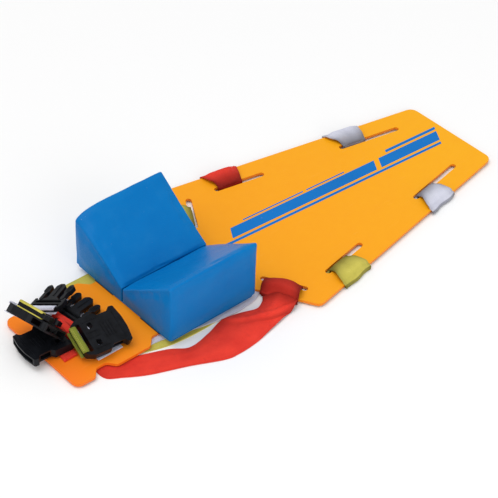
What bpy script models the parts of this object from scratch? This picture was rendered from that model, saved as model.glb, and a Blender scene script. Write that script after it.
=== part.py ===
"""Short extrication spine board with a V-shaped head immobiliser and six colour-coded webbing
straps that end in side-release buckles, stored on the head tab.

Metres, +Z up. The origin is on the floor under the middle of the whole object. +X points to the
foot end. Lying on the board face up, the patient's left side is +Y and the right side is -Y.
The board rests on the straps that run under it.
"""

import math

import bmesh
import bpy
from mathutils import Matrix, Vector

# Driving dimensions
GAP = 0.0003                # between pieces that touch
HEAD_X = -0.471             # head end of the board
BOARD_LENGTH = 0.972
BOARD_THICK = 0.005
TAB_HALF = 0.100            # half width of the head tab
TAB_END = 0.150             # length of the head tab
NECK_HALF = 0.083
NECK_START, NECK_END = 0.166, 0.365
SHOULDER_AT, SHOULDER_HALF = 0.436, 0.203
FOOT_HALF = 0.1043
SLOT_WIDTH = 0.011
EDGE_ROUND = 0.0021

WEB_WIDTH = 0.050           # 2 inch webbing
WEB_THICK = 0.0016
LAYER_A = 0.0               # underside of the lower layer of straps under the board
LAYER_B = WEB_THICK + GAP
BOARD_LOW = LAYER_B + WEB_THICK + GAP
BOARD_TOP = BOARD_LOW + BOARD_THICK

HEAD_REST_X = (0.175, 0.366)     # from the head end of the board
HEAD_REST_Y = 0.0108             # centre line of the head immobiliser
HEAD_REST_HALF = 0.1296
HOOK_THICK = 0.0010
BASE_THICK = 0.0021
WEDGE_LOW = BOARD_TOP + HOOK_THICK + BASE_THICK + 3 * GAP
WEDGE_TOP = 0.1319
VALLEY_TOP = 0.0428

BUCKLE_WIDTH = 0.070
BUCKLE_THICK = 0.015
HOUSING_LENGTH = 0.086
POCKET_DEEP = 0.043
POCKET_HALF = 0.029
POCKET_HIGH = 0.009
PRONG_LENGTH = 0.040
MALE_BASE = 0.028
MALE_THICK = 0.008

# Where each strap crosses the strip between its slot and the board's edge
SIDE_SLOTS = {"white": (0.774, 0.897, 0.802), "middle": (0.505, 0.598, 0.533)}
SIDE_OFFSET = 0.042
SHOULDER_OFFSET = 0.0306
SHOULDER_SLOT = ((0.405, 0.091), (0.443, 0.155))
LANE_WHITE = 0.0875         # middle of the two bands across the head tab, from the head end
LANE_RED = 0.0305

COLOURS = {
    "board_orange": ((0.93, 0.36, 0.02), 0.38),
    "vinyl_blue": ((0.01, 0.12, 0.42), 0.18),
    "hook_black": ((0.02, 0.02, 0.022), 0.95),
    "web_white": ((0.66, 0.67, 0.80), 0.8),
    "web_yellow": ((0.62, 0.56, 0.10), 0.8),
    "web_red": ((0.62, 0.04, 0.03), 0.75),
    "buckle_black": ((0.012, 0.013, 0.016), 0.4),
}


# Helpers
def clear_scene():
    for obj in list(bpy.data.objects):
        bpy.data.objects.remove(obj)


def collection(name):
    made = bpy.data.collections.new(name)
    bpy.context.scene.collection.children.link(made)
    return made


def material(name):
    colour, roughness = COLOURS[name]
    made = bpy.data.materials.get(name)
    if made is None:
        made = bpy.data.materials.new(name)
        made.use_nodes = True
        shader = made.node_tree.nodes["Principled BSDF"]
        shader.inputs["Base Color"].default_value = (*colour, 1.0)
        shader.inputs["Roughness"].default_value = roughness
        shader.inputs["Metallic"].default_value = 0.0
        made.diffuse_color = (*colour, 1.0)
    return made


def piece(name, mesh, material_name, parent=None, location=(0, 0, 0)):
    """A named sub-part of the object."""
    obj = bpy.data.objects.new(name, mesh)
    mesh.materials.clear()
    mesh.materials.append(material(material_name))
    PARTS.objects.link(obj)
    obj.parent = parent
    obj.location = location
    return obj


def helper(name, mesh, parent=None, location=(0, 0, 0), angle=0.0):
    """A shape that is only joined to or cut from another one."""
    obj = bpy.data.objects.new(name, mesh)
    CUTTERS.objects.link(obj)
    obj.hide_render = True
    obj.display_type = "WIRE"
    obj.parent = parent
    obj.location = location
    obj.rotation_euler.z = angle
    return obj


def boolean(obj, other, operation):
    modifier = obj.modifiers.new(f"{operation.lower()} {other.name}", "BOOLEAN")
    modifier.operation = operation
    modifier.object = other
    modifier.solver = "EXACT"


def bevel(obj, width, segments=2, angle=50):
    modifier = obj.modifiers.new("rounded edges", "BEVEL")
    modifier.width = width
    modifier.segments = segments
    modifier.limit_method = "ANGLE"
    modifier.angle_limit = math.radians(angle)


def rounded(corners, steps=4):
    """A closed outline through corners (x, y, radius), with each corner as an arc."""
    points = []
    for i, (x, y, radius) in enumerate(corners):
        corner = Vector((x, y))
        to_last = (Vector(corners[i - 1][:2]) - corner).normalized()
        to_next = (Vector(corners[(i + 1) % len(corners)][:2]) - corner).normalized()
        if radius == 0:
            points.append(corner)
            continue
        half = to_last.angle(to_next) / 2
        centre = corner + (to_last + to_next).normalized() * (radius / math.sin(half))
        start = corner + to_last * (radius / math.tan(half)) - centre
        end = corner + to_next * (radius / math.tan(half)) - centre
        turn = math.atan2(start.x * end.y - start.y * end.x, start.dot(end))
        first = math.atan2(start.y, start.x)
        for k in range(steps + 1):
            angle = first + turn * k / steps
            points.append(centre + radius * Vector((math.cos(angle), math.sin(angle))))
    return points


def stadium(start, end, width, steps=6):
    """The outline of a slot with round ends, from the middle of one end to the other."""
    start, end = Vector(start), Vector(end)
    along = math.atan2(end.y - start.y, end.x - start.x)
    points = []
    for middle, first in ((end, along - math.pi / 2), (start, along + math.pi / 2)):
        for k in range(steps + 1):
            angle = first + math.pi * k / steps
            points.append(middle + width / 2 * Vector((math.cos(angle), math.sin(angle))))
    return points


def plate(outlines, low, high):
    """A mesh with a flat outline, and holes where more outlines follow the first."""
    curve = bpy.data.curves.new("outline", "CURVE")
    curve.dimensions = "2D"
    curve.fill_mode = "BOTH"
    curve.extrude = (high - low) / 2
    for outline in outlines:
        spline = curve.splines.new("POLY")
        spline.points.add(len(outline) - 1)
        for point, (x, y) in zip(spline.points, outline):
            point.co = (x, y, 0, 1)
        spline.use_cyclic_u = True
    obj = bpy.data.objects.new("outline", curve)
    PARTS.objects.link(obj)
    mesh = bpy.data.meshes.new_from_object(obj.evaluated_get(bpy.context.evaluated_depsgraph_get()))
    bpy.data.objects.remove(obj)
    work = bmesh.new()
    work.from_mesh(mesh)
    bmesh.ops.remove_doubles(work, verts=work.verts, dist=1e-6)
    bmesh.ops.translate(work, verts=work.verts, vec=(0, 0, (low + high) / 2))
    bmesh.ops.recalc_face_normals(work, faces=work.faces)
    work.to_mesh(mesh)
    work.free()
    return mesh


def box(low, high):
    """A box between two corners."""
    low, high = Vector(low), Vector(high)
    work = bmesh.new()
    bmesh.ops.create_cube(work, size=1.0)
    bmesh.ops.scale(work, verts=work.verts, vec=high - low)
    bmesh.ops.translate(work, verts=work.verts, vec=(low + high) / 2)
    mesh = bpy.data.meshes.new("box")
    work.to_mesh(mesh)
    work.free()
    return mesh


def band(path, closed, low, high):
    """An open sheet along a path of (y, z), as wide as low to high along X. Solidify thickens it."""
    work = bmesh.new()
    rows = [[work.verts.new((x, y, z)) for y, z in path] for x in (low, high)]
    count = len(path)
    for i in range(count if closed else count - 1):
        j = (i + 1) % count
        work.faces.new((rows[0][i], rows[0][j], rows[1][j], rows[1][i]))
    mesh = bpy.data.meshes.new("band")
    work.to_mesh(mesh)
    work.free()
    return mesh


def thicken(obj, thickness=WEB_THICK):
    modifier = obj.modifiers.new("webbing thickness", "SOLIDIFY")
    modifier.thickness = thickness
    modifier.offset = 0
    modifier.use_even_offset = True


def ribbon(route, width=WEB_WIDTH):
    """The outline of a strap that lies flat along a route, with mitred turns."""
    route = [Vector(point) for point in route]
    sides = ([], [])
    for i, point in enumerate(route):
        before = (point - route[i - 1]).normalized() if i else None
        after = (route[i + 1] - point).normalized() if i + 1 < len(route) else None
        before, after = before or after, after or before
        across = (before + after).normalized().orthogonal()
        reach = width / 2 / across.dot(before.orthogonal())
        sides[0].append(point + across * reach)
        sides[1].append(point - across * reach)
    return sides[0] + sides[1][::-1]


def on_board(h, y):
    """A point given by its distance from the head end and from the centre line."""
    return Vector((HEAD_X + h, y))


def side_edge(side):
    """(direction towards the foot, outward normal) of the board's tapered side."""
    slope = math.atan2(SHOULDER_HALF - FOOT_HALF, BOARD_LENGTH - SHOULDER_AT)
    return (
        Vector((math.cos(slope), -side * math.sin(slope))),
        Vector((math.sin(slope), side * math.cos(slope))),
    )


def side_slot_y(h):
    """Distance of a side slot's centre from the board's centre line."""
    along, out = side_edge(1)
    edge = SHOULDER_HALF + (h - SHOULDER_AT) * along.y / along.x
    return edge - SIDE_OFFSET / out.y


# The board
def board_outline():
    half = [
        (0.0, TAB_HALF, 0.014),
        (0.038, TAB_HALF, 0.008),
        (0.050, 0.0845, 0.010),
        (0.070, 0.0845, 0.010),
        (0.082, TAB_HALF, 0.008),
        (TAB_END, TAB_HALF, 0.011),
        (NECK_START, NECK_HALF, 0.008),
        (NECK_END, NECK_HALF, 0.030),
        (SHOULDER_AT, SHOULDER_HALF, 0.013),
        (BOARD_LENGTH, FOOT_HALF, 0.016),
    ]
    right = [(HEAD_X + h, -y, r) for h, y, r in half]
    left = [(HEAD_X + h, y, r) for h, y, r in reversed(half)]
    return rounded(right + left)


def slot_outlines():
    slots = []
    for side in (-1, 1):
        for first, last, _ in SIDE_SLOTS.values():
            ends = [on_board(h, side * side_slot_y(h)) for h in (first, last)]
            slots.append(stadium(*ends, SLOT_WIDTH))
        ends = [on_board(h, side * y) for h, y in SHOULDER_SLOT]
        slots.append(stadium(*ends, SLOT_WIDTH))
    return slots


def make_board():
    mesh = plate([board_outline()] + slot_outlines(), BOARD_LOW, BOARD_TOP)
    board = piece("board", mesh, "board_orange")
    bevel(board, EDGE_ROUND)


# The head immobiliser
def make_head_rest():
    first, last = (HEAD_X + h for h in HEAD_REST_X)
    hook_low = BOARD_TOP + GAP
    base_low = hook_low + HOOK_THICK + GAP
    for side, name in ((-1, "right"), (1, "left")):
        middle = side * 0.062
        mesh = box((first + 0.003, middle - 0.025, hook_low), (last - 0.012, middle + 0.025, base_low - GAP))
        piece(f"{name}_hook_strip", mesh, "hook_black")
    inset = 0.004
    outline = rounded([
        (first + inset, HEAD_REST_Y - HEAD_REST_HALF + inset, 0.006),
        (last - inset, HEAD_REST_Y - HEAD_REST_HALF + inset, 0.006),
        (last - inset, HEAD_REST_Y + HEAD_REST_HALF - inset, 0.006),
        (first + inset, HEAD_REST_Y + HEAD_REST_HALF - inset, 0.006),
    ])
    piece("head_base", plate([outline], base_low, base_low + BASE_THICK), "vinyl_blue")
    for side, name in ((-1, "right"), (1, "left")):
        inner, outer = side * GAP / 2, side * HEAD_REST_HALF
        profile = [(inner, WEDGE_LOW), (outer, WEDGE_LOW), (outer, WEDGE_TOP), (inner, VALLEY_TOP)]
        work = bmesh.new()
        ends = [[work.verts.new((x, HEAD_REST_Y + y, z)) for y, z in profile] for x in (first, last)]
        for i in range(4):
            j = (i + 1) % 4
            work.faces.new((ends[0][i], ends[0][j], ends[1][j], ends[1][i]))
        work.faces.new(ends[0][::-1])
        work.faces.new(ends[1])
        bmesh.ops.recalc_face_normals(work, faces=work.faces)
        mesh = bpy.data.meshes.new("wedge")
        work.to_mesh(mesh)
        work.free()
        wedge = piece(f"{name}_head_block", mesh, "vinyl_blue")
        bevel(wedge, 0.003, 2, 20)


# The straps
def loop_path(offset, bottom, puff):
    """(distance from the slot, height) round the strip between a slot and the board's edge."""
    return rounded([
        (0.0, bottom, 0.0015),
        (0.0, BOARD_TOP + 0.003, 0.003),
        (offset * 0.35, BOARD_TOP + puff, 0.012),
        (offset - 0.004, BOARD_TOP + puff - 0.0015, 0.005),
        (offset + 0.005, BOARD_TOP - 0.002, 0.004),
        (offset + 0.005, bottom, 0.0015),
    ], 3)


def strap(name, colour, slot_point, out, offset, layer, outline, puff=0.0065):
    """A webbing loop round the board's edge, joined to the flat run that leaves it."""
    bottom = layer + (0.0009 if layer == LAYER_A else 0.0007)
    mesh = band(loop_path(offset, bottom, puff), True, -WEB_WIDTH / 2, WEB_WIDTH / 2)
    loop = piece(name, mesh, colour, location=(*slot_point, 0))
    loop.rotation_euler.z = math.atan2(out.y, out.x) - math.pi / 2
    thicken(loop)
    boolean(loop, helper(f"{name}_run", plate([outline], layer, layer + WEB_THICK)), "UNION")
    return loop


def tab_wrap(loop, lane, layer, start, end):
    """The strap's end, wrapped round the left edge of the head tab and back over the tab."""
    bottom = layer + (0.0009 if layer == LAYER_A else 0.0007)
    top = BOARD_TOP + 2 * GAP + WEB_THICK / 2
    edge = TAB_HALF + 2 * GAP + WEB_THICK / 2
    path = [
        (start, bottom),
        *((y, z) for y, z in rounded([(edge, bottom, 0.0012), (edge, top, 0.0018), (end, top, 0)], 3)[:-1]),
        (end, top),
    ]
    x = HEAD_X + lane
    wrap = helper(f"{loop.name}_wrap", band(path, False, x - WEB_WIDTH / 2, x + WEB_WIDTH / 2))
    thicken(wrap)
    boolean(loop, wrap, "UNION")


def make_straps():
    for side, name in ((-1, "right"), (1, "left")):
        _, out = side_edge(side)
        centre_h = SIDE_SLOTS["white"][2]
        slot = on_board(centre_h, side * side_slot_y(centre_h))
        under = slot + out * 0.020
        route = [under, under - out * 0.045]
        if side < 0:
            route += [on_board(h, y) for h, y in ((0.400, -0.076), (0.350, -0.095), (0.280, -0.093), (0.175, -0.070))]
            route += [on_board(LANE_WHITE + WEB_WIDTH / 2, -0.070)]
        else:
            route += [on_board(0.400, 0.058), on_board(LANE_WHITE - WEB_WIDTH / 2, 0.062)]
        loop = strap(f"{name}_white_strap", "web_white", slot, out, SIDE_OFFSET, LAYER_B, ribbon(route))
        if side > 0:
            tab_wrap(loop, LANE_WHITE, LAYER_B, 0.046, -0.075)

    centre_h = SIDE_SLOTS["middle"][2]
    _, out = side_edge(1)
    slot = on_board(centre_h, side_slot_y(centre_h))
    under = slot + out * 0.020
    route = [under, under - out * (under.y / out.y), on_board(LANE_RED - WEB_WIDTH / 2, 0.0)]
    loop = strap("left_red_strap", "web_red", slot, out, SIDE_OFFSET, LAYER_A, ribbon(route))
    tab_wrap(loop, LANE_RED, LAYER_A, -0.024, -0.062)

    _, out = side_edge(-1)
    slot = on_board(centre_h, -side_slot_y(centre_h))
    under = slot + out * 0.020
    route = [under, under - out * 0.110]
    route += [on_board(h, y) for h, y in ((0.370, -0.056), (0.300, -0.088), (0.200, -0.090), (0.128, -0.0694))]
    strap("right_yellow_strap", "web_yellow", slot, out, SIDE_OFFSET, LAYER_A, ribbon(route))

    inner, outer = (Vector(point) for point in SHOULDER_SLOT)
    along = (outer - inner).normalized()
    out = Vector((-along.y, along.x))
    slot = on_board(*(inner + along * 0.028))
    route = [slot + out * 0.010, slot + out * 0.034]
    route += [on_board(h, y) for h, y in ((0.330, 0.090), (0.116, 0.090))]
    strap("left_yellow_strap", "web_yellow", slot, out, SHOULDER_OFFSET, LAYER_A, ribbon(route))

    slot = on_board(*(outer - along * 0.030))
    slot.y = -slot.y
    out = Vector((out.x, -out.y))
    loose = rounded([
        (*on_board(0.052, -0.060), 0.004),
        (*on_board(0.050, -0.104), 0.010),
        (*on_board(0.112, -0.145), 0.030),
        (*on_board(0.174, -0.170), 0.030),
        (*on_board(0.262, -0.2025), 0.040),
        (*on_board(0.372, -0.186), 0.020),
        (*on_board(0.418, -0.170), 0.004),
        (*on_board(0.398, -0.128), 0.004),
        (*on_board(0.354, -0.1430), 0.020),
        (*on_board(0.285, -0.1180), 0.020),
        (*on_board(0.222, -0.1440), 0.020),
        (*on_board(0.182, -0.1190), 0.020),
        (*on_board(0.110, -0.0940), 0.010),
        (*on_board(0.104, -0.060), 0.004),
    ], 3)
    strap("right_red_strap", "web_red", slot, out, SHOULDER_OFFSET, LAYER_A, loose, 0.0085)


# The buckles
def mount(name, place, yaw, tilt, pitch=0.0):
    """An empty that carries one buckle half: X along its insertion axis, Z out of its top."""
    empty = bpy.data.objects.new(name, None)
    PARTS.objects.link(empty)
    turn = Matrix.Rotation(math.radians(yaw), 4, "Z")
    turn @= Matrix.Rotation(math.radians(pitch), 4, "Y")
    turn @= Matrix.Rotation(math.radians(tilt), 4, "X")
    empty.matrix_world = Matrix.Translation(place) @ turn
    return empty


def mirrored(half):
    """A closed outline from its half with y above 0, listed from the front to the back."""
    return [(x, -y, r) for x, y, r in reversed(half)] + half


def make_housing(name, empty):
    """The female half. Its mouth faces +X, and its webbing bar is at the back."""
    front, back, half = HOUSING_LENGTH / 2, -HOUSING_LENGTH / 2, BUCKLE_WIDTH / 2
    outline = rounded(mirrored([
        (front + 0.002, 0.010, 0.030),
        (front - 0.002, half - 0.001, 0.003),
        (front - 0.010, half, 0.002),
        (front - 0.014, half - 0.006, 0.004),
        (front - 0.036, half - 0.006, 0.004),
        (front - 0.041, half, 0.003),
        (back + 0.014, half, 0.006),
        (back, half - 0.007, 0.004),
    ]), 3)
    windows = [
        rounded([
            (-0.018, side * 0.010, 0.002),
            (-0.008, side * 0.012, 0.002),
            (-0.009, side * 0.022, 0.002),
            (-0.017, side * 0.021, 0.002),
        ], 2)
        for side in (-1, 1)
    ]
    web_slot = rounded([(back + 0.007, -0.0265, 0.002), (back + 0.0145, -0.0265, 0.002),
                        (back + 0.0145, 0.0265, 0.002), (back + 0.007, 0.0265, 0.002)], 2)
    mesh = plate([outline, *windows, web_slot], -BUCKLE_THICK / 2, BUCKLE_THICK / 2)
    housing = piece(name, mesh, "buckle_black", empty)
    pocket = box((front - POCKET_DEEP, -POCKET_HALF, -POCKET_HIGH / 2),
                 (front + 0.010, POCKET_HALF, POCKET_HIGH / 2))
    boolean(housing, helper(f"{name}_pocket", pocket, empty), "DIFFERENCE")
    bevel(housing, 0.0012, 1, 60)
    return housing


def make_male(name, empty):
    """The male half: a frame with a webbing bar and a middle guide, and two sprung arms."""
    back, front, half = -MALE_BASE, 0.0, BUCKLE_WIDTH / 2 - 0.002
    outline = rounded(mirrored([
        (PRONG_LENGTH, 0.004, 0.002),
        (PRONG_LENGTH - 0.006, 0.0095, 0.003),
        (front, 0.0095, 0.004),
        (front, 0.0150, 0.001),
        (front - 0.0045, 0.0165, 0.002),
        (front - 0.0045, 0.0265, 0.002),
        (front, 0.0280, 0.001),
        (front - 0.001, half - 0.001, 0.002),
        (back + 0.010, half, 0.004),
        (back, half - 0.006, 0.004),
    ]), 2)
    slots = [
        rounded([(low, -0.0265, 0.0015), (high, -0.0265, 0.0015),
                 (high, 0.0265, 0.0015), (low, 0.0265, 0.0015)], 2)
        for low, high in ((-0.0230, -0.0165), (-0.0125, -0.0080))
    ]
    mesh = plate([outline, *slots], -MALE_THICK / 2, MALE_THICK / 2)
    frame = piece(name, mesh, "buckle_black", empty)
    bevel(frame, 0.0010, 1, 60)
    root = (-0.0004, 0.0215)
    for side, word in ((-1, "right"), (1, "left")):
        arm = rounded([
            (-0.0030, side * -0.0040, 0.003),
            (0.0140, side * -0.0030, 0.006),
            (0.0190, side * -0.0060, 0.003),
            (0.0340, side * -0.0050, 0.004),
            (0.0390, side * 0.0010, 0.004),
            (0.0330, side * 0.0066, 0.004),
            (0.0200, side * 0.0064, 0.002),
            (0.0160, side * 0.0030, 0.004),
            (-0.0030, side * 0.0040, 0.003),
        ], 2)
        if side < 0:
            arm.reverse()
        mesh = plate([arm], -MALE_THICK / 2, MALE_THICK / 2)
        lever = piece(f"{name}_{word}_arm", mesh, "buckle_black", empty, (root[0], side * root[1], 0))
        bevel(lever, 0.0010, 1, 60)
    return frame


def make_roll(name, empty, colour, bar_x, bar_half_x, bar_half_z, tail):
    """Webbing folded round a buckle's bar, with its two layers lying back from the bar."""
    clear = 2 * GAP + WEB_THICK / 2
    path = rounded([
        (bar_half_x + clear, -bar_half_z - clear, 0.0018),
        (bar_half_x + clear, bar_half_z + clear, 0.0018),
        (-bar_half_x - tail, bar_half_z + clear, 0.0018),
        (-bar_half_x - tail, -bar_half_z - clear, 0.0018),
    ], 3)
    mesh = band(path, True, -WEB_WIDTH / 2, WEB_WIDTH / 2)
    turn = Matrix.Translation((bar_x, 0, 0)) @ Matrix.Rotation(-math.pi / 2, 4, "Z")
    mesh.transform(turn)
    roll = piece(name, mesh, colour, empty)
    thicken(roll)


# The middle of each buckle half, then its yaw, its tilt about its own axis and its pitch, in degrees
POSES = {
    "red_housing": ((HEAD_X + 0.0165, 0.006, 0.0211), 176, 0, 0),
    "white_housing": ((HEAD_X + 0.0090, 0.0180, 0.0607), -78, -50, 0),
    "yellow_housing": ((HEAD_X + 0.0895, -0.045, 0.0336), -5, 22, 2),
    "white_male": ((HEAD_X + 0.081, 0.075, 0.0272), 24, -22, 0),
    "red_male": ((HEAD_X + 0.0985, 0.0372, 0.0175), 8, 0, 0),
}


def make_buckles():
    places = {name: mount(f"{name}_place", *pose) for name, pose in POSES.items()}
    # The yellow male half lies flat against the white housing, turned across it.
    across = Matrix.Translation((0, -0.003, 0.0138)) @ Matrix.Rotation(math.pi / 2, 4, "Z")
    places["yellow_male"] = mount("yellow_male_place", (0, 0, 0), 0, 0)
    places["yellow_male"].matrix_world = places["white_housing"].matrix_world @ across
    for name, empty in places.items():
        colour, half = name.split("_")
        if half == "housing":
            make_housing(name, empty)
            make_roll(f"{name}_webbing", empty, f"web_{colour}", -HOUSING_LENGTH / 2 + 0.0035, 0.0035,
                      BUCKLE_THICK / 2, 0.004)
        else:
            make_male(name, empty)
            make_roll(f"{name}_webbing", empty, f"web_{colour}", -0.0255, 0.0025, MALE_THICK / 2, 0.004)


clear_scene()
PARTS = collection("spine_board")
CUTTERS = collection("cutters")
make_board()
make_head_rest()
make_straps()
make_buckles()
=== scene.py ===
"""Looks of the spine board: moulded board with a printed stripe, vinyl head blocks, woven straps
and side-release buckles. Metres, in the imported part's own frame."""

import math

import bmesh
import bpy
from mathutils import Matrix, Vector, noise


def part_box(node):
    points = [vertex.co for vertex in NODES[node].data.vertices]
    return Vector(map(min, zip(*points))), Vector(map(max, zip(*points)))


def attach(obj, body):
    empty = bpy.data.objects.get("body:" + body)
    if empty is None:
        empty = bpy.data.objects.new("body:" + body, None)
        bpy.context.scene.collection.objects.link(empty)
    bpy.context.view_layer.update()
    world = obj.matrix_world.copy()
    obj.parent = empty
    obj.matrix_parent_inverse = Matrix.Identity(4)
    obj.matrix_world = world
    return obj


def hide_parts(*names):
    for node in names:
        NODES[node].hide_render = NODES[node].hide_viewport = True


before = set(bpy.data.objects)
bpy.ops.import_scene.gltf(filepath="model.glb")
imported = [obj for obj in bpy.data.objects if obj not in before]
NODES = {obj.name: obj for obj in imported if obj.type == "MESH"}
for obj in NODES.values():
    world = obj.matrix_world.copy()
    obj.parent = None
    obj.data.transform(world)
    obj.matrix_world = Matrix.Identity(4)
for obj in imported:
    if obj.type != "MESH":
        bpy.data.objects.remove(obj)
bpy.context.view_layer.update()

HEAD_X = -0.471             # head end of the board
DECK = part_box("board")[1][2]    # the board's upper face
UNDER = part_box("board")[0][2]   # and its lower face
WEB = 0.050                 # webbing width
THICK = 0.0016              # webbing thickness
ACROSS = 19                 # points across a strap


# Finishes
class Shader:
    """A material's node tree, with short calls for the nodes that the finishes share."""

    def __init__(self, name):
        self.material = bpy.data.materials.new(name)
        self.material.use_nodes = True
        self.tree = self.material.node_tree
        self.surface = self.tree.nodes["Principled BSDF"]

    def node(self, kind, settings=(), **inputs):
        """A new node. Its inputs are given by name, or as i0, i1 and so on by number."""
        made = self.tree.nodes.new("ShaderNode" + kind)
        for key, value in dict(settings).items():
            setattr(made, key, value)
        for key, value in inputs.items():
            socket = made.inputs[int(key[1:])] if key[0] == "i" and key[1:].isdigit() else made.inputs[key]
            self.put(socket, value)
        return made

    def put(self, socket, value):
        if isinstance(value, bpy.types.NodeSocket):
            self.tree.links.new(value, socket)
        elif isinstance(value, bpy.types.Node):
            self.tree.links.new(value.outputs[0], socket)
        else:
            socket.default_value = value

    def set(self, **inputs):
        for key, value in inputs.items():
            self.put(self.surface.inputs[key.replace("_", " ")], value)

    def math(self, operation, a, b=0.0):
        return self.node("Math", {"operation": operation}, i0=a, i1=b).outputs[0]

    def coordinates(self, scale=(1, 1, 1)):
        source = self.node("TexCoord").outputs["Object"]
        return self.node("Mapping", Vector=source, Scale=scale).outputs[0]

    def noise(self, vector, scale, detail=3.0, roughness=0.55):
        made = self.node("TexNoise", Vector=vector, Scale=scale, Detail=detail, Roughness=roughness)
        return made.outputs[0]

    def ramp(self, factor, stops):
        made = self.node("ValToRGB", Fac=factor)
        elements = made.color_ramp.elements
        while len(elements) < len(stops):
            elements.new(0.5)
        for element, (position, colour) in zip(elements, stops):
            element.position = position
            element.color = (*colour, 1)
        return made.outputs[0]

    def span(self, value, low, high, to_low=0.0, to_high=1.0):
        """The value moved from one range to another, and held inside it."""
        return self.node("MapRange", i0=value, i1=low, i2=high, i3=to_low, i4=to_high).outputs[0]

    def mix(self, factor, a, b):
        """From colour a to colour b. Each is a socket or three numbers."""
        made = self.node("Mix", {"data_type": "RGBA"})
        self.put(made.inputs[0], factor)
        for place, colour in ((6, a), (7, b)):
            self.put(made.inputs[place], (*colour, 1) if isinstance(colour, tuple) else colour)
        return made.outputs[2]

    def bump(self, height, distance, strength=1.0, normal=None):
        made = self.node("Bump", Height=height, Distance=distance, Strength=strength)
        if normal is not None:
            self.put(made.inputs["Normal"], normal)
        return made.outputs[0]


def board_finish():
    s = Shader("board_orange")
    place = s.coordinates()
    x = s.node("SeparateXYZ", i0=place).outputs[0]
    cloud = s.noise(place, 4.0, 4)
    along = s.math("ADD", x, s.span(cloud, 0.3, 0.7, -0.05, 0.05))
    base = s.ramp(s.span(along, -0.50, 0.50), [
        (0.0, (0.95, 0.19, 0.012)), (0.14, (0.95, 0.28, 0.010)), (0.45, (0.95, 0.365, 0.008)),
        (0.78, (0.95, 0.40, 0.007)), (1.0, (0.95, 0.43, 0.006))])
    mottle = s.span(s.noise(place, 55.0, 5), 0.35, 0.7, 0.0, 0.08)
    base = s.mix(mottle, base, (0.85, 0.24, 0.004))
    # Painted shade: upright faces, the moulded edges and the walls of the slots, take a deeper colour than
    # the deck
    upright = s.node("SeparateXYZ", i0=s.node("TexCoord").outputs["Normal"]).outputs[2]
    upright_shade = s.span(s.math("ABSOLUTE", upright), 0.80, 0.35)
    base = s.mix(s.math("MULTIPLY", upright_shade, 0.55), base, (0.90, 0.16, 0.012))
    scuff = s.noise(s.coordinates(scale=(6, 110, 30)), 3.0, 6, 0.7)
    worn = s.span(scuff, 0.62, 0.74)
    base = s.mix(s.math("MULTIPLY", worn, 0.16), base, (1.0, 0.62, 0.22))
    grain = s.noise(place, 1500.0, 2)
    pebble = s.node("TexVoronoi", Vector=place, Scale=620.0).outputs[0]
    normal = s.bump(s.math("ADD", grain, s.math("MULTIPLY", pebble, 0.8)), 0.00006, 0.6)
    normal = s.bump(cloud, 0.0012, 0.35, normal)
    normal = s.bump(worn, 0.00004, 0.8, normal)
    s.set(Base_Color=base, Roughness=s.span(scuff, 0.3, 0.75, 0.36, 0.50), Normal=normal,
          Specular_IOR_Level=0.16)
    return s.material


def print_finish():
    s = Shader("stripe_ink")
    place = s.coordinates()
    cover = s.noise(place, 190.0, 6, 0.7)
    ink = s.mix(s.span(s.noise(place, 7.0), 0.3, 0.7), (0.000, 0.180, 0.58), (0.000, 0.150, 0.50))
    worn = s.span(cover, 0.69, 0.75)
    ink = s.mix(s.math("MULTIPLY", worn, 0.75), ink, (0.86, 0.34, 0.02))
    s.set(Base_Color=ink, Roughness=s.span(cover, 0.3, 0.7, 0.30, 0.42),
          Normal=s.bump(s.noise(place, 1500.0), 0.00004, 0.5), Specular_IOR_Level=0.15)
    return s.material


def vinyl_finish():
    s = Shader("vinyl_blue")
    place = s.coordinates()
    cloud = s.noise(place, 9.0, 4)
    base = s.mix(s.span(cloud, 0.3, 0.7), (0.003, 0.190, 0.530), (0.001, 0.165, 0.490))
    smudge = s.span(s.noise(s.coordinates(scale=(1, 1, 2.5)), 22.0, 6, 0.65), 0.52, 0.80)
    base = s.mix(s.math("MULTIPLY", smudge, 0.22), base, (0.03, 0.25, 0.56))
    speck = s.span(s.noise(place, 260.0, 2), 0.76, 0.80)
    base = s.mix(s.math("MULTIPLY", speck, 0.5), base, (0.35, 0.50, 0.70))
    cells = s.node("TexVoronoi", {"feature": "DISTANCE_TO_EDGE"}, Vector=place, Scale=560.0).outputs[0]
    grain = s.math("MINIMUM", cells, 0.22)
    crease = s.noise(s.coordinates(scale=(1, 2.2, 1)), 16.0, 5, 0.6)
    normal = s.bump(crease, 0.0035, 0.30)
    normal = s.bump(grain, 0.00045, 0.75, normal)
    s.set(Base_Color=base, Roughness=s.span(smudge, 0.0, 1.0, 0.30, 0.44), Normal=normal,
          Specular_IOR_Level=0.07, Coat_Weight=0.03, Coat_Roughness=0.16)
    return s.material


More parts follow.
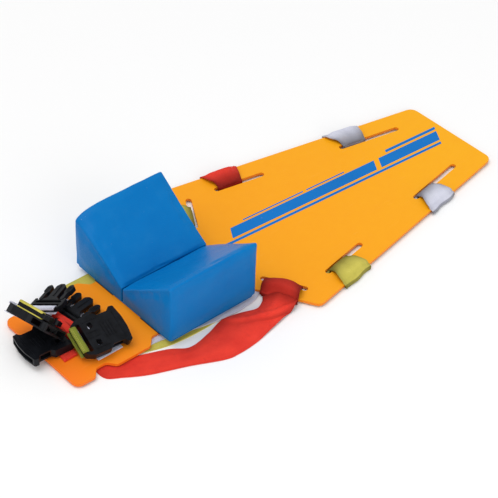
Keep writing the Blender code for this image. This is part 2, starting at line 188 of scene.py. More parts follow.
def webbing_finish(name, light, dark, dirt):
    """Chevron-woven strap. The UV map holds metres across and along the strap."""
    s = Shader(name)
    uv = s.node("UVMap").outputs[0]
    across, along = (s.node("SeparateXYZ", i0=uv).outputs[k] for k in (0, 1))
    zigzag = s.math("PINGPONG", across, 0.0042)
    slanted = s.math("ADD", along, s.math("MULTIPLY", zigzag, 0.9))
    twill = s.math("SINE", s.math("MULTIPLY", slanted, 2900.0))
    warp = s.math("SINE", s.math("MULTIPLY", across, 2 * math.pi / 0.00105))
    weave = s.math("ADD", s.math("MULTIPLY", twill, 0.55), s.math("MULTIPLY", warp, 0.45))
    edge = s.math("ABSOLUTE", s.math("SUBTRACT", across, WEB / 2))
    rim = s.span(edge, WEB / 2 - 0.0036, WEB / 2 - 0.0026)
    place = s.coordinates()
    patch = s.span(s.noise(place, 26.0, 5), 0.32, 0.72)
    base = s.mix(patch, light, dark)
    base = s.mix(s.span(weave, 0.1, -0.9, 0.0, 0.34), base, tuple(0.45 * c for c in dark))
    base = s.mix(s.math("MULTIPLY", rim, 0.22), base, tuple(0.7 * c for c in dark))
    soil = s.span(s.noise(place, 75.0, 6, 0.7), 0.60, 0.80)
    base = s.mix(s.math("MULTIPLY", soil, 0.35), base, dirt)
    # Painted shade: the shade attribute darkens the strap where it lies in shadow
    shade = s.node("Attribute", {"attribute_name": "shade"}).outputs["Fac"]
    base = s.mix(s.math("MULTIPLY", shade, 0.85), base, tuple(0.16 * c for c in dark))
    fibre = s.noise(place, 2300.0, 2)
    normal = s.bump(s.math("ADD", weave, s.math("MULTIPLY", fibre, 0.5)), 0.00028, 0.9)
    normal = s.bump(rim, 0.00025, 0.6, normal)
    s.set(Base_Color=base, Roughness=s.span(patch, 0.0, 1.0, 0.62, 0.78), Normal=normal,
          Sheen_Weight=0.12, Sheen_Roughness=0.45, Sheen_Tint=(*light, 1), Specular_IOR_Level=0.12)
    return s.material


def buckle_finish():
    s = Shader("buckle_black")
    place = s.coordinates()
    cloud = s.span(s.noise(place, 90.0, 4), 0.35, 0.7)
    base = s.mix(cloud, (0.0045, 0.005, 0.0065), (0.009, 0.010, 0.013))
    rub = s.span(s.noise(s.coordinates(scale=(1, 3, 1)), 60.0, 6, 0.75), 0.60, 0.75)
    base = s.mix(s.math("MULTIPLY", rub, 0.30), base, (0.030, 0.033, 0.038))
    grain = s.noise(place, 1900.0, 2)
    normal = s.bump(grain, 0.00005, 0.7)
    s.set(Base_Color=base, Roughness=s.span(rub, 0.0, 1.0, 0.28, 0.44), Normal=normal,
          Specular_IOR_Level=0.14)
    return s.material


def hook_finish():
    s = Shader("hook_black")
    place = s.coordinates()
    loops = s.node("TexVoronoi", Vector=place, Scale=900.0).outputs[0]
    base = s.mix(loops, (0.008, 0.008, 0.009), (0.035, 0.035, 0.038))
    s.set(Base_Color=base, Roughness=s.span(loops, 0.0, 1.0, 0.95, 0.75),
          Normal=s.bump(loops, 0.0004))
    return s.material


def thread_finish(name, colour):
    s = Shader(name)
    twist = s.noise(s.coordinates(), 2600.0, 1)
    s.set(Base_Color=s.mix(twist, colour, tuple(0.6 * c for c in colour)),
          Roughness=s.span(twist, 0.0, 1.0, 0.6, 0.8), Normal=s.bump(twist, 0.0002, 0.8))
    return s.material


def floor_finish():
    s = Shader("floor")
    s.set(Base_Color=(0.96, 0.96, 0.96, 1), Roughness=0.9)
    return s.material


FINISH = {
    "board": board_finish(), "ink": print_finish(), "vinyl": vinyl_finish(),
    "hook": hook_finish(), "buckle": buckle_finish(), "floor": floor_finish(),
    "white": webbing_finish("web_white", (0.84, 0.85, 0.96), (0.68, 0.69, 0.82), (0.36, 0.35, 0.36)),
    "yellow": webbing_finish("web_yellow", (0.78, 0.68, 0.135), (0.58, 0.51, 0.085), (0.22, 0.19, 0.04)),
    "red": webbing_finish("web_red", (0.98, 0.062, 0.036), (0.80, 0.042, 0.028), (0.26, 0.016, 0.014)),
    # Painted shade: a darker copy of the yellow webbing, for the roll in the yellow housing
    "yellow_shaded": webbing_finish("web_yellow_shaded", (0.27, 0.30, 0.040), (0.19, 0.22, 0.028), (0.08, 0.08, 0.02)),
    "thread_white": thread_finish("thread_white", (0.7, 0.7, 0.78)),
    "thread_yellow": thread_finish("thread_yellow", (0.62, 0.56, 0.12)),
    "thread_red": thread_finish("thread_red", (0.70, 0.06, 0.04)),
}


# Mesh helpers
def made_mesh(work, name):
    """The bmesh as a mesh."""
    mesh = bpy.data.meshes.new(name)
    work.to_mesh(mesh)
    work.free()
    return mesh


def dress(node, finish):
    """Gives a CAD node a finish."""
    NODES[node].data.materials.clear()
    NODES[node].data.materials.append(FINISH[finish])


def link(name, mesh, finish, body="frame", smooth=True):
    """A piece that rides on a body and has a finish."""
    obj = bpy.data.objects.new(name, mesh)
    bpy.context.scene.collection.objects.link(obj)
    mesh.materials.clear()
    mesh.materials.append(FINISH[finish])
    if smooth:
        mesh.shade_smooth()
    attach(obj, body)
    return obj


def apply(obj):
    """Makes the object's mesh what its modifiers leave."""
    graph = bpy.context.evaluated_depsgraph_get()
    graph.update()
    mesh = bpy.data.meshes.new_from_object(obj.evaluated_get(graph))
    obj.modifiers.clear()
    old, obj.data = obj.data, mesh
    bpy.data.meshes.remove(old)


def ribbon_mesh(name, rows, lengths, shades=None):
    """A sheet through rows of points. Its UV map holds metres, across the strap and then along it."""
    work = bmesh.new()
    layer = work.loops.layers.uv.new("UVMap")
    dark = work.verts.layers.float.new("shade")
    grid = [[work.verts.new(p) for p in row] for row in rows]
    count = len(rows[0])
    for i in range(len(rows) - 1):
        for j in range(count - 1):
            face = work.faces.new((grid[i][j], grid[i][j + 1], grid[i + 1][j + 1], grid[i + 1][j]))
            for loop, (a, b) in zip(face.loops, ((i, j), (i, j + 1), (i + 1, j + 1), (i + 1, j))):
                loop[layer].uv = (WEB * b / (count - 1), lengths[a])
    if shades:
        for row, row_shades in zip(grid, shades):
            for vert, shade in zip(row, row_shades):
                vert[dark] = shade
    return made_mesh(work, name)


def thickened(obj):
    """Gives a strap its thickness and a rounded selvage."""
    modifier = obj.modifiers.new("thickness", "SOLIDIFY")
    modifier.thickness = THICK
    modifier.offset = 0
    rounding = obj.modifiers.new("selvage", "BEVEL")
    rounding.width = 0.0005
    rounding.segments = 2
    rounding.limit_method = "ANGLE"
    rounding.angle_limit = math.radians(60)
    apply(obj)
    obj.data.shade_smooth()


def smooth_path(points, step=0.004):
    """A Catmull-Rom curve through the points, at about even steps."""
    points = [Vector(p) for p in points]
    dense = []
    ends = [2 * points[0] - points[1], *points, 2 * points[-1] - points[-2]]
    for a, b, c, d in zip(ends, ends[1:], ends[2:], ends[3:]):
        pieces = max(2, int((c - b).length / step))
        for k in range(pieces):
            t = k / pieces
            dense.append(0.5 * ((2 * b) + (c - a) * t + (2 * a - 5 * b + 4 * c - d) * t * t
                                + (3 * b - a - 3 * c + d) * t * t * t))
    dense.append(points[-1])
    return dense


def running_length(points):
    """The length of the path up to each of its points."""
    out = [0.0]
    for a, b in zip(points, points[1:]):
        out.append(out[-1] + (b - a).length)
    return out


def resample(path, count):
    """Points at even steps along the path."""
    lengths = running_length(path)
    points, i = [], 0
    for k in range(count):
        target = lengths[-1] * k / (count - 1)
        while i < len(lengths) - 2 and lengths[i + 1] < target:
            i += 1
        part = (target - lengths[i]) / max(1e-9, lengths[i + 1] - lengths[i])
        points.append(path[i].lerp(path[i + 1], part))
    return points


def stepped(profile, step):
    """A path's points, with more of them between those that are further apart than the step."""
    points = []
    for a, b in zip(profile, profile[1:]):
        pieces = max(1, int((b - a).length / step))
        points += [a + (b - a) * k / pieces for k in range(pieces)]
    return [*points, profile[-1]]


def on_board(h, y):
    """A place on the floor from its distance to the board's head end and its distance to the middle."""
    return Vector((HEAD_X + h, y, 0.0))


def surface_noise(point, scale, seed=0.0):
    return noise.noise(Vector(point) * scale + Vector((seed, seed * 0.7, seed * 1.3)))


def rounded(corners, steps=5):
    """A closed outline through corners (x, y, radius), with each corner as an arc."""
    points = []
    for i, (x, y, radius) in enumerate(corners):
        corner = Vector((x, y))
        to_last = (Vector(corners[i - 1][:2]) - corner).normalized()
        to_next = (Vector(corners[(i + 1) % len(corners)][:2]) - corner).normalized()
        if radius == 0:
            points.append(corner)
            continue
        half = to_last.angle(to_next) / 2
        centre = corner + (to_last + to_next).normalized() * (radius / math.sin(half))
        start = corner + to_last * (radius / math.tan(half)) - centre
        end = corner + to_next * (radius / math.tan(half)) - centre
        turn = math.atan2(start.x * end.y - start.y * end.x, start.dot(end))
        first = math.atan2(start.y, start.x)
        for k in range(steps + 1):
            angle = first + turn * k / steps
            points.append(centre + radius * Vector((math.cos(angle), math.sin(angle))))
    return points


# The board and its printed stripe
dress("board", "board")


def make_stripe():
    """Plain bars where the photo has lettering."""
    start, end = on_board(0.412, 0.0360), on_board(0.945, 0.0090)
    along = (end - start).normalized()
    out = Vector((-along.y, along.x, 0))
    length = (end - start).length
    bars = [  # (from, to, lower side, upper side) along the line and across it
        (0.000, length, -0.0225, -0.0165),
        (0.030, 0.372, -0.0115, 0.0135), (0.384, length, -0.0115, 0.0135),
        (0.060, 0.200, 0.0175, 0.0205), (0.208, 0.300, 0.0175, 0.0205),
        (0.405, length, 0.0185, 0.0255),
    ]
    work = bmesh.new()
    slant, ink = 0.55, 0.00008
    for a, b, low, high in bars:
        steps = max(2, int((b - a) / 0.01))
        rows = []
        for side in (low, high):
            rows.append([work.verts.new(start + along * (a + (b - a) * k / steps + side * slant)
                                        + out * side + Vector((0, 0, DECK + ink)))
                         for k in range(steps + 1)])
        for k in range(steps):
            work.faces.new((rows[0][k], rows[0][k + 1], rows[1][k + 1], rows[1][k]))
    mesh = made_mesh(work, "printed_stripe")
    link("printed_stripe", mesh, "ink", smooth=False)


# The head blocks: foam under vinyl, swelled a little by a short cloth simulation
FIRST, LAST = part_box("left_head_block")[0][0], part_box("left_head_block")[1][0]
CENTRE_Y = 0.0108           # the valley, where the two wedges meet
HALF = 0.1296               # width of one wedge
WEDGE_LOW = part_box("left_head_block")[0][2]
WEDGE_TOP, VALLEY = 0.1319, 0.0428
RISE = (WEDGE_TOP - VALLEY) / HALF
GRID = 0.006                # of the cloth that is simulated
CLOTH_FRAMES = 20
INSET, MOST_SWELL = 0.0022, 0.0024
# Over what length each ridge falls away at the head end, and by how much
CORNERS = {"right": (0.016, 0.004), "left": (0.054, 0.027)}


def block_mesh(side, inset):
    """One wedge as a cover cut to its foam: sharp seams, and an even grid for the cloth simulation."""
    inner, outer = 0.0002 + inset * 0.3, HALF - inset
    low = WEDGE_LOW + inset * 0.4
    corners = [
        (inner, low, 0.0015), (outer, low, 0.0025),
        (outer, WEDGE_TOP - inset * 1.4, 0.0032), (inner, VALLEY - inset + RISE * inner, 0.0012),
    ]
    outline = rounded(corners, 2)
    work = bmesh.new()
    x0, x1 = FIRST + inset, LAST - inset
    ends = [[work.verts.new((x, CENTRE_Y + side * y, z)) for y, z in outline] for x in (x0, x1)]
    count = len(outline)
    for i in range(count):
        j = (i + 1) % count
        work.faces.new((ends[0][i], ends[0][j], ends[1][j], ends[1][i]))
    caps = [work.faces.new(ends[0][::-1]), work.faces.new(ends[1])]
    bmesh.ops.recalc_face_normals(work, faces=work.faces)
    rim = [edge for cap in caps for edge in cap.edges]
    bmesh.ops.bevel(work, geom=rim, offset=0.0026, segments=2, profile=0.5, affect="EDGES")
    spans = ((x0, x1), (CENTRE_Y, CENTRE_Y + side * HALF), (WEDGE_LOW, WEDGE_TOP))
    for axis, (start, end) in enumerate(spans):
        steps = int(abs(end - start) / GRID)
        for k in range(1, steps):
            point, normal = Vector(), Vector()
            point[axis] = start + (end - start) * k / steps
            normal[axis] = 1.0
            bmesh.ops.bisect_plane(work, geom=[*work.verts, *work.edges, *work.faces], dist=0.0004,
                                   plane_co=point, plane_no=normal)
    bmesh.ops.triangulate(work, faces=[f for f in work.faces if len(f.verts) > 4])
    return made_mesh(work, "block")


def round_corner(mesh, side, along, drop):
    """Lets the ridge fall away at the head end, where the foam doesn't fill the cover."""
    for v in mesh.vertices:
        y = side * (v.co.y - CENTRE_Y)
        part = max(0.0, min(1.0, (y / HALF - 0.40) / 0.60)) ** 1.6
        near_end = max(0.0, min(1.0, 1 - (v.co.x - FIRST) / along))
        height = (v.co.z - WEDGE_LOW) / (VALLEY + RISE * y - WEDGE_LOW)
        curve = 1 - math.sqrt(max(0.0, 1 - near_end ** 2))
        v.co.z -= drop * part * curve * max(0.0, height) ** 2


def swell(obj):
    """Puffs the piece up like a filled cover, with no point moving further than MOST_SWELL.

    Not repeatable: from one and the same mesh the cloth solver gives a slightly different result
    in every run. Four runs differed by up to about 2 mm, and by less than 0.1 mm on average.
    """
    before = [(v.co.copy(), v.normal.copy()) for v in obj.data.vertices]
    cloth = obj.modifiers.new("cloth", "CLOTH")
    cloth.settings.quality = 5
    cloth.settings.mass = 0.3
    cloth.settings.tension_stiffness = 25
    cloth.settings.compression_stiffness = 25
    cloth.settings.bending_stiffness = 6
    cloth.settings.use_pressure = True
    cloth.settings.uniform_pressure_force = 4.0
    cloth.settings.effector_weights.gravity = 0
    cloth.point_cache.frame_start = 1
    cloth.point_cache.frame_end = CLOTH_FRAMES
    scene = bpy.context.scene
    for number in range(1, CLOTH_FRAMES + 1):
        scene.frame_set(number)
    graph = bpy.context.evaluated_depsgraph_get()
    after = [v.co.copy() for v in obj.evaluated_get(graph).data.vertices]
    obj.modifiers.remove(cloth)
    scene.frame_set(1)
    # The cover mostly moves outwards, and stays put where it stands on the base panel.
    sideways, most_inwards, held_height = 0.4, 0.0004, 0.025
    for v, (a, normal), b in zip(obj.data.vertices, before, after):
        move = b - a
        out = move.dot(normal)
        move = (move - normal * out) * sideways + normal * max(out, -most_inwards)
        if move.length > MOST_SWELL:
            move *= MOST_SWELL / move.length
        v.co = a + move * min(1.0, max(0.0, (a.z - WEDGE_LOW) / held_height))


def make_head_blocks():
    for side, word in ((-1, "right"), (1, "left")):
        name = f"{word}_head_cushion"
        obj = bpy.data.objects.new(name, block_mesh(side, INSET))
        bpy.context.scene.collection.objects.link(obj)
        swell(obj)
        subdivide = obj.modifiers.new("subdivide", "SUBSURF")
        subdivide.levels = subdivide.render_levels = 1
        apply(obj)
        spare = 0.0006      # how far a cover may stand out past its CAD block
        normals = [v.normal.copy() for v in obj.data.vertices]
        for v, normal in zip(obj.data.vertices, normals):
            held = min(1.0, max(0.0, (v.co.z - WEDGE_LOW) / 0.02))
            dents = 0.0011 * surface_noise(v.co, 14, 3.0 + side) + 0.0004 * surface_noise(v.co, 45, side)
            v.co += normal * held * dents
            y = side * (v.co.y - CENTRE_Y)
            v.co.y = CENTRE_Y + side * min(max(y, 0.0002), HALF + spare)
            v.co.z = max(v.co.z, WEDGE_LOW)
            v.co.x = min(max(v.co.x, FIRST - spare), LAST + spare)
        round_corner(obj.data, side, *CORNERS[word])
        mesh = obj.data
        bpy.data.objects.remove(obj)
        block = link(name, mesh, "vinyl", f"{word}_head_slide")
        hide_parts(f"{word}_head_block")


dress("head_base", "vinyl")
dress("right_hook_strip", "hook")
dress("left_hook_strip", "hook")


# Straps
SIDE_OFFSET, SHOULDER_OFFSET = 0.042, 0.0306    # from a slot to the board's edge
SHOULDER_H, SHOULDER_HALF = 0.436, 0.203
FOOT_H, FOOT_HALF = 0.972, 0.1043
SLOPE = math.atan2(SHOULDER_HALF - FOOT_HALF, FOOT_H - SHOULDER_H)
LOWER, UPPER = 0.0009, 0.0027                   # heights of the two layers of webbing under the board
SHOULDER_SLOT = ((0.405, 0.091), (0.443, 0.155))    # the slanted slots' two ends, left of the middle


def side_slot(h, side):
    """A slot's middle, and the direction from it straight out over the edge."""
    out = Vector((math.sin(SLOPE), side * math.cos(SLOPE), 0))
    y = SHOULDER_HALF - (h - SHOULDER_H) * math.tan(SLOPE) - SIDE_OFFSET / math.cos(SLOPE)
    return on_board(h, side * y), out


def loop_rows(slot, out, along, offset, bottom, flare, folds, seed, puff=0.0108, opened=0.0):
    """Rows of points from under the slot, up through it, over the edge and back under the board.

    flare is how much wider than the webbing it spreads at its head and foot sides, and folds is the
    depth, number and phase of its soft folds. puff is its height over the deck, and opened is the
    share of the flare that it already has at the slot.
    """
    profile = rounded([
        (0.004, bottom + 0.0004, 0.0), (0.0, bottom + 0.0016, 0.0012), (0.0, DECK + 0.0035, 0.003),
        (offset * 0.36, DECK + puff, 0.012), (offset - 0.004, DECK + puff - 0.0012, 0.006),
        (offset + 0.0052, DECK - 0.0022, 0.004), (offset + 0.0050, bottom, 0.0014), (0.006, bottom, 0.0),
    ], 5)
    rows = []
    head_flare, foot_flare = flare
    depth, waves, phase = folds
    for t, z in stepped(profile, 0.0016):
        part = max(0.0, min(1.0, t / offset))
        above = 1.0 if z > DECK + 0.001 else 0.0
        spread = part * part * (3 - 2 * part)
        spread += (1 - spread) * opened * min(1.0, max(0.0, (z - DECK) / 0.008))
        row = []
        for k in range(ACROSS):
            w = (k / (ACROSS - 1) - 0.5) * WEB
            u = w / WEB + 0.5
            shift = spread * (foot_flare * u - head_flare * (1 - u))
            if not above and z < UNDER + 0.001:
                shift *= max(0.0, (t - 0.012) / offset)
            fan = math.sin(math.pi * part) * above
            lift = depth * fan * (math.sin(2 * math.pi * (waves * u + phase) + 1.6 * part) * 0.6 + 0.35)
            lift += 0.0009 * fan * surface_noise((w * 60, t * 60, seed), 1.0, seed)
            sag = 0.0042 * above * max(0.0, abs(2 * u - 1) - 0.55) / 0.45
            uneven = 0.0012 * (1 - above) * math.sin(9 * u + seed) * (t > offset)
            point = slot + out * (t + uneven) + along * (w + shift)
            lowest = DECK + 0.0012 if above else z
            row.append(Vector((point.x, point.y, max(z + lift - sag, lowest))))
        rows.append(row)
    return rows


def run_rows(route, z):
    """Rows of points along a flat route under the board."""
    path = smooth_path(route, 0.006)
    rows = []
    for i, p in enumerate(path):
        ahead = path[min(i + 1, len(path) - 1)] - path[max(i - 1, 0)]
        across = Vector((ahead.y, -ahead.x, 0)).normalized()
        row = []
        for k in range(ACROSS):
            q = p + across * ((k / (ACROSS - 1) - 0.5) * WEB)
            row.append(Vector((q.x, q.y, z)))
        rows.append(row)
    return rows


def strap_piece(name, rows, colour, node=None, shades=None):
    """A length of webbing through rows of points. It stands for the CAD node, where one is given."""
    lengths = running_length([row[len(row) // 2] for row in rows])
    obj = link(name, ribbon_mesh(name, rows, lengths, shades), colour)
    thickened(obj)
    if node:
        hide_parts(node)


def slot_shade(rows, slot, out, reach, sides):
    """Painted shade on a loop: dark deep in the slot's shadow, under the board and at its turned edges,
    fading along the strap.
    """
    shades = []
    for row in rows:
        middle = row[len(row) // 2]
        t = max(0.0, (middle - slot).dot(out))
        base = max(0.0, 1 - t / reach) ** 1.3 if middle.z > DECK else 0.7
        count = len(row) - 1
        shades.append([min(1.0, base + sides * abs(2 * k / count - 1) ** 4) for k in range(count + 1)])
    return shades


def round_edges(work, verts, width, segments):
    """Rounds every edge of the shape that these points belong to."""
    bmesh.ops.bevel(work, geom=list({e for v in verts for e in v.link_edges}), offset=width,
                    segments=segments, affect="EDGES")


def stitches(name, start, end, up, colour):
    """A row of short raised stitches from start to end."""
    work = bmesh.new()
    pitch, size = 0.0032, Matrix.Diagonal((0.0023, 0.0007, 0.0006, 1))
    along = (end - start).normalized()
    turn = Matrix((along, up.cross(along), up)).transposed().to_4x4()
    count = int((end - start).length / pitch)
    for k in range(count):
        turn.translation = start + (end - start) * ((k + 0.5) / count) + up * 0.0001
        verts = bmesh.ops.create_cube(work, size=1.0, matrix=turn @ size)["verts"]
        round_edges(work, verts, 0.0002, 1)
    link(name, made_mesh(work, name), f"thread_{colour}")


def make_side_straps():
    # Side, place of the slot, layer, flare, folds and seed. Then how far in the run goes straight,
    # and its route from there.
    plans = {
        "right_white": (-1, 0.802, UPPER, (0.019, 0.004), (0.0026, 1.5, 0.15), 1.0, (0.025,),
                        ((0.72, -0.066), (0.56, -0.070), (0.400, -0.076), (0.350, -0.095),
                         (0.280, -0.093), (0.175, -0.070), (0.112, -0.070))),
        "left_white": (1, 0.802, UPPER, (0.017, 0.006), (0.0020, 1.9, 0.45), 2.0, (0.025,),
                       ((0.70, 0.062), (0.40, 0.058), (0.25, 0.061), (0.0625, 0.062))),
        "left_red": (1, 0.533, LOWER, (0.013, 0.009), (0.0022, 1.3, 0.30), 3.0, (0.06, 0.115),
                     ((0.40, 0.0), (0.20, 0.0), (0.006, 0.0))),
        "right_yellow": (-1, 0.533, LOWER, (0.015, 0.008), (0.0020, 1.0, 0.05), 4.0, (0.05, 0.078),
                         ((0.44, -0.054), (0.370, -0.056), (0.300, -0.088), (0.200, -0.090),
                          (0.128, -0.0694))),
    }
    for name, (side, h, layer, flare, folds, seed, straight, far) in plans.items():
        slot, out = side_slot(h, side)
        along = Vector((math.cos(SLOPE), -side * math.sin(SLOPE), 0))
        colour = name.split("_")[1]
        rows = loop_rows(slot, out, along, SIDE_OFFSET, layer, flare, folds, seed)
        strap_piece(f"{name}_loop", rows, colour, node=f"{name}_strap",
                    shades=slot_shade(rows, slot, out, 0.034, 0.35))
        route = [slot, *(slot - out * inwards for inwards in straight), *(on_board(*p) for p in far)]
        strap_piece(f"{name}_run", run_rows(route, layer), colour)


def make_left_yellow_strap():
    along = (Vector((*SHOULDER_SLOT[1], 0)) - Vector((*SHOULDER_SLOT[0], 0))).normalized()
    out = Vector((-along.y, along.x, 0))
    slot = on_board(*SHOULDER_SLOT[0]) + along * 0.028
    rows = loop_rows(slot, out, along, SHOULDER_OFFSET, LOWER, (0.004, 0.004), (0.0016, 1.5, 0.2), 5.0)
    strap_piece("left_yellow_loop", rows, "yellow", node="left_yellow_strap",
                shades=slot_shade(rows, slot, out, 0.022, 0.30))
    route = [slot + out * 0.012, slot + out * 0.032,
             *(on_board(*p) for p in ((0.345, 0.094), (0.300, 0.090), (0.200, 0.090), (0.116, 0.090)))]
    strap_piece("left_yellow_run", run_rows(route, LOWER), "yellow")


def tab_profile(layer, start, end):
    """Places (y, z) from under the head tab, round its far edge and back over the top."""
    top, edge = DECK + 0.0014, 0.1015
    corners = [(start, layer, 0), (edge, layer, 0.0012), (edge, top, 0.0019), (end, top, 0)]
    return stepped(rounded(corners), 0.004)


def make_white_band():
    rows = []
    for y, z in tab_profile(UPPER, 0.046, -0.075):
        row = []
        for k in range(ACROSS):
            x = HEAD_X + 0.0875 + (k / (ACROSS - 1) - 0.5) * WEB
            lift = 0.0009 * (0.5 + 0.5 * surface_noise((x, y, 0), 42, 8.0)) if z > DECK else 0.0
            row.append(Vector((x, y, z + lift)))
        rows.append(row)
    strap_piece("left_white_band", rows, "white")


def make_red_band():
    """The red strap over the tab: flat below it, and folded in half lengthwise above it, a little askew."""
    count, folded_half = 25, 0.0125
    flat, folded = [], []
    for y, z in tab_profile(LOWER, -0.024, -0.043):
        if z <= DECK:
            flat.append([Vector((HEAD_X + 0.0305 + (k / (count - 1) - 0.5) * WEB, y, z))
                         for k in range(count)])
            continue
        centre = HEAD_X + (0.0300 + (y + 0.055) * 0.115)
        row = []
        for k in range(count):
            u = abs(2 * k / (count - 1) - 1)
            turn = math.sqrt(max(0.0, 1 - (1 - u) ** 6))
            layer_up = (k > count // 2) * 0.0022 * min(1.0, turn * 1.6)
            bulge = 0.0008 * surface_noise((centre, y, k * 0.01), 55, 2.0) + 0.0008
            row.append(Vector((centre - folded_half + 2 * folded_half * u, y, z + layer_up + bulge * u)))
        folded.append(row)
    # The last flat rows draw in to the folded width
    drawn_in = 9
    for i in range(1, drawn_in + 1):
        share = (1 - i / (drawn_in + 1)) ** 2
        for p, goal in zip(flat[-i], folded[0]):
            p.x = p.x + (goal.x - p.x) * share
    strap_piece("left_red_band", flat + folded, "red")


def make_red_tail():
    """The long right shoulder strap: a puffed loop over the edge, then a folded tail on the floor."""
    (inner_h, inner_y), (outer_h, outer_y) = SHOULDER_SLOT
    along = Vector((outer_h - inner_h, -(outer_y - inner_y), 0)).normalized()
    out = Vector((along.y, -along.x, 0))
    slot = on_board(outer_h, -outer_y) - along * 0.030
    loop = loop_rows(slot, out, along, SHOULDER_OFFSET, LOWER, (0.015, 0.003), (0.0040, 1.15, 0.55), 6.0,
                     puff=0.0190, opened=0.75)
    strap_piece("right_red_loop", loop, "red", node="right_red_strap",
                shades=slot_shade(loop, slot, out, 0.060, 0.60))
    # (outer edge, inner edge, crown height, lean) from the shoulder to the head tab's notch
    stations = [
        ((0.4125, -0.1700), (0.3800, -0.1180), 0.0125, 0.0060),
        ((0.4000, -0.1765), (0.3680, -0.1290), 0.0125, 0.0040),
        ((0.3735, -0.1815), (0.3480, -0.1360), 0.0100, 0.0020),
        ((0.3312, -0.1903), (0.3200, -0.1255), 0.0075, 0.0),
        ((0.2952, -0.1975), (0.2860, -0.1200), 0.0060, 0.0),
        ((0.2554, -0.1995), (0.2459, -0.1310), 0.0050, 0.0),
        ((0.2280, -0.1950), (0.2034, -0.1370), 0.0045, 0.0),
        ((0.174, -0.1700), (0.172, -0.1180), 0.0040, 0.0),
        ((0.112, -0.1450), (0.122, -0.0980), 0.0030, 0.0),
        ((0.073, -0.1220), (0.100, -0.0930), 0.0012, 0.0),
        ((0.051, -0.1050), (0.097, -0.0790), 0.0003, 0.0),
        ((0.050, -0.0700), (0.098, -0.0640), 0.0002, 0.0),
    ]
    outer = smooth_path([on_board(*s[0]) for s in stations], 0.004)
    inner = smooth_path([on_board(*s[1]) for s in stations], 0.004)
    rise = smooth_path([Vector((i, s[2], s[3])) for i, s in enumerate(stations)], 0.05)

    count, wide = 130, 25
    outer, inner, rise = (resample(path, count) for path in (outer, inner, rise))
    rows, shades = [], []
    for i in range(count):
        row, row_shades = [], []
        part = i / (count - 1)
        # Painted shade: darker where the tail leaves the loop and where it goes under the head tab, and along
        # the hollow of its fold
        tail_end_shade = 0.8 * max(0.0, 1 - part / 0.07) + 0.4 * max(0.0, (part - 0.84) / 0.16)
        fade = max(0.0, 1 - part / 0.36)
        for k in range(wide):
            u = k / (wide - 1)
            p = outer[i].lerp(inner[i], u)
            crown = rise[i].y * math.sin(math.pi * u) ** 0.75
            # One slanted fold: a ridge with a hollow behind it, dying out along the tail
            line = part - 0.02 - 0.30 * u ** 0.8
            fold = 0.0075 * math.exp(-(line / 0.030) ** 2) - 0.0050 * math.exp(-((line - 0.045) / 0.026) ** 2)
            fold *= fade
            row_shades.append(min(1.0, tail_end_shade + 0.75 * fade * math.exp(-((line - 0.040) / 0.016) ** 2)))
            ripple = 0.0011 * math.sin(2 * math.pi * (2.2 * u + 1.4 * part))
            ripple *= math.sin(math.pi * u) * (1 - part)
            z = LOWER + max(0.0, crown + fold + ripple + rise[i].z * (1 - u))
            if abs(p.y) < 0.104 and p.x < HEAD_X + 0.16:    # flat where it goes under the head tab
                z = min(z, LOWER + 0.0012)
            row.append(Vector((p.x, p.y, z)))
        rows.append(row)
        shades.append(row_shades)
    strap_piece("right_red_tail", rows, "red", shades=shades)


# Buckles keep their CAD shapes, with softer edges and raised grips. Their rolls of webbing are remade.
BUCKLE_TOP, MALE_TOP = 0.0075, 0.004     # half the thickness of each kind
BUCKLES = {  # place, then yaw, tilt and pitch in degrees
    "red_housing": ((HEAD_X + 0.0165, 0.006, 0.0211), 176, 0, 0),
    "white_housing": ((HEAD_X + 0.0090, 0.0180, 0.0607), -78, -50, 0),
    "yellow_housing": ((HEAD_X + 0.0895, -0.045, 0.0336), -5, 22, 2),
    "white_male": ((HEAD_X + 0.081, 0.075, 0.0272), 24, -22, 0),
    "red_male": ((HEAD_X + 0.0985, 0.0372, 0.0175), 8, 0, 0),
}


def buckle_places():
    places = {}
    for name, (place, yaw, tilt, pitch) in BUCKLES.items():
        turn = Matrix.Rotation(math.radians(yaw), 4, "Z")
        turn @= Matrix.Rotation(math.radians(pitch), 4, "Y")
        turn @= Matrix.Rotation(math.radians(tilt), 4, "X")
        places[name] = Matrix.Translation(place) @ turn
    # The yellow male half lies flat against the white housing, turned across it.
    across = Matrix.Translation((0, -0.003, 0.0138)) @ Matrix.Rotation(math.pi / 2, 4, "Z")
    places["yellow_male"] = places["white_housing"] @ across
    return places


def raised(name, place, bars, body, edge=0.0004):
    """Bars (low corner, high corner) moulded on a buckle half, in its own axes."""
    work = bmesh.new()
    for low, high in bars:
        low, high = Vector(low), Vector(high)
        made = bmesh.ops.create_cube(work, size=1.0)["verts"]
        bmesh.ops.scale(work, verts=made, vec=high - low)
        bmesh.ops.translate(work, verts=made, vec=(low + high) / 2)
        round_edges(work, made, edge, 2)
    bmesh.ops.transform(work, matrix=place, verts=work.verts)
    link(name, made_mesh(work, name), "buckle", body, smooth=False)


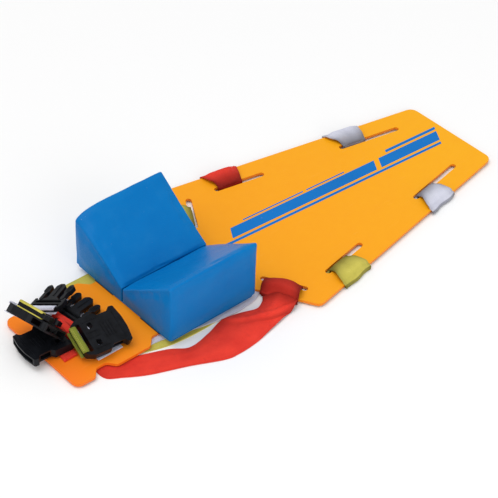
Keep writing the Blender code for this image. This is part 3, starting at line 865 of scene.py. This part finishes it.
def make_roll(name, place, colour, bar_x, bar_half_x, bar_half_z, finish):
    """Webbing folded round a buckle's bar, its cut end lying over the layer below."""
    clear = 0.0006 + THICK / 2
    c = bar_half_z + clear
    tail = 0.004
    profile = rounded([
        (-bar_half_x - tail - 0.0006, -c + 0.0004, 0), (bar_half_x + clear, -c, c * 0.75),
        (bar_half_x + clear, c, c * 0.75), (-bar_half_x - tail, c, 0.0018),
        (-bar_half_x - tail, c - 0.0030, 0),
    ], 6)
    rows, count = [], 13
    for x, z in profile:
        row = []
        for k in range(count):
            y = (k / (count - 1) - 0.5) * (WEB - 0.0012)
            puff = 0.00035 * surface_noise((x, y, z), 90, bar_x * 100)
            row.append(place @ Vector((bar_x + x + puff, y, z + puff)))
        rows.append(row)
    lengths = running_length([row[count // 2] for row in rows])
    piece = f"{name}_roll"
    obj = link(piece, ribbon_mesh(piece, rows, lengths), finish)
    thickened(obj)
    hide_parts(f"{name}_webbing")
    up = place.to_3x3().col[2].normalized()
    for number, share in enumerate((0.15, 0.75)):
        x, z = bar_x - bar_half_x - tail * (1 - share), c + THICK / 2
        ends = [place @ Vector((x, side * (WEB / 2 - 0.003), z)) for side in (-1, 1)]
        stitches(f"{name}_stitches_{number}", *ends, up, colour)


def make_housing_looks(name, place, colour):
    # Painted shade: the yellow housing's roll gets a darker, greenish copy of the yellow webbing finish, so
    # it is darker than the yellow straps are.
    make_roll(name, place, colour, -0.0395, 0.0035, BUCKLE_TOP, "yellow_shaded" if colour == "yellow" else colour)
    low, high, grip = BUCKLE_TOP - 0.0002, BUCKLE_TOP + 0.0008, BUCKLE_TOP + 0.0009
    bars = [((0.004 + 0.0055 * k, -0.0130, low), (0.0062 + 0.0055 * k, 0.0130, grip)) for k in range(4)]
    bars.append(((0.0330, -0.0260, low), (0.0352, 0.0260, high)))
    for side in (-1, 1):
        y = side * 0.0262
        bars.append(((-0.024, min(y, y - side * 0.0018), low), (0.004, max(y, y - side * 0.0018), high)))
        y = side * 0.0048
        bars.append(((-0.025, y - 0.0008, low), (-0.004, y + 0.0008, high)))
    raised(f"{name}_grips", place, bars, "frame")


def make_male_looks(name, place, colour):
    make_roll(name, place, colour, -0.0255, 0.0025, MALE_TOP, colour)
    low = 0.0038
    raised(f"{name}_ridge", place, [((0.006, -0.0010, low), (0.036, 0.0010, 0.0050)),
                                    ((-0.0066, -0.0230, low), (-0.0052, 0.0230, 0.0048))], "frame")
    for side, word in ((-1, "right"), (1, "left")):
        y = side * 0.022
        bars = [((0.0185 + 0.0036 * k, y - 0.0036, low), (0.0185 + 0.0036 * k + 0.0013, y + 0.0036, 0.0047))
                for k in range(4)]
        raised(f"{name}_{word}_grip", place, bars, f"{name}_{word}_lever", 0.0003)


def make_buckles():
    for name, place in buckle_places().items():
        colour, half = name.split("_")
        looks = make_housing_looks if half == "housing" else make_male_looks
        looks(name, place, colour)


for node, obj in NODES.items():
    if node.endswith(("_housing", "_male", "_arm")):
        dress(node, "buckle")
        softer = obj.modifiers.new("soft_edges", "BEVEL")
        softer.width = 0.0005
        softer.segments = 2
        softer.limit_method = "ANGLE"
        softer.angle_limit = math.radians(28)

make_buckles()
make_stripe()
make_head_blocks()
make_side_straps()
make_left_yellow_strap()
make_white_band()
make_red_band()
make_red_tail()


# Camera, lights and floor
def aimed(position, heading, pitch, roll):
    """A camera matrix from a heading, a downward pitch and a roll, in degrees."""
    a, e, r = (math.radians(value) for value in (heading, pitch, roll))
    forward = Vector((math.cos(a) * math.cos(e), math.sin(a) * math.cos(e), -math.sin(e)))
    right = Vector((math.sin(a), -math.cos(a), 0))
    up = right.cross(forward)
    turned_right = right * math.cos(r) + up * math.sin(r)
    turned_up = up * math.cos(r) - right * math.sin(r)
    matrix = Matrix((turned_right, turned_up, -forward)).transposed().to_4x4()
    matrix.translation = position
    return matrix


def area_light(name, position, size, power):
    """A rectangular light aimed at the object."""
    data = bpy.data.lights.new(name, "AREA")
    data.shape = "RECTANGLE"
    data.size, data.size_y = size
    data.energy = power
    obj = bpy.data.objects.new(name, data)
    bpy.context.scene.collection.objects.link(obj)
    obj.location = position
    obj.rotation_euler = (Vector((0.0, 0.0, 0.05)) - Vector(position)).to_track_quat("-Z", "Y").to_euler()


camera = bpy.data.objects.new("camera", bpy.data.cameras.new("camera"))
bpy.context.scene.collection.objects.link(camera)
camera.data.lens = 120.0
camera.data.sensor_width = 36.0
camera.data.clip_end = 50.0
camera.matrix_world = aimed(Vector((-1.5589, -1.6408, 1.8748)), 46.7917, 39.9381, 2.7345)
bpy.context.scene.camera = camera
bpy.context.scene.view_settings.view_transform = "Standard"
bpy.context.scene.view_settings.look = "None"

sun = bpy.data.objects.new("overhead", bpy.data.lights.new("overhead", "SUN"))
sun.data.energy = 1.25
sun.data.angle = math.radians(50)
sun.rotation_euler = Vector((0.25, -0.15, -1.0)).to_track_quat("-Z", "Y").to_euler()
bpy.context.scene.collection.objects.link(sun)
area_light("from_front", (-0.6, -2.6, 1.2), (2.4, 1.4), 17)
area_light("from_head_end", (-2.6, 0.3, 1.3), (1.6, 1.2), 5)

world = bpy.data.worlds.new("world")
bpy.context.scene.world = world
world.use_nodes = True
background = world.node_tree.nodes["Background"]
background.inputs["Color"].default_value = (1, 1, 1, 1)
background.inputs["Strength"].default_value = 0.58

work = bmesh.new()
bmesh.ops.create_grid(work, x_segments=1, y_segments=1, size=12.0)
floor = bpy.data.objects.new("floor", made_mesh(work, "floor"))
floor.data.materials.append(FINISH["floor"])
bpy.context.scene.collection.objects.link(floor)
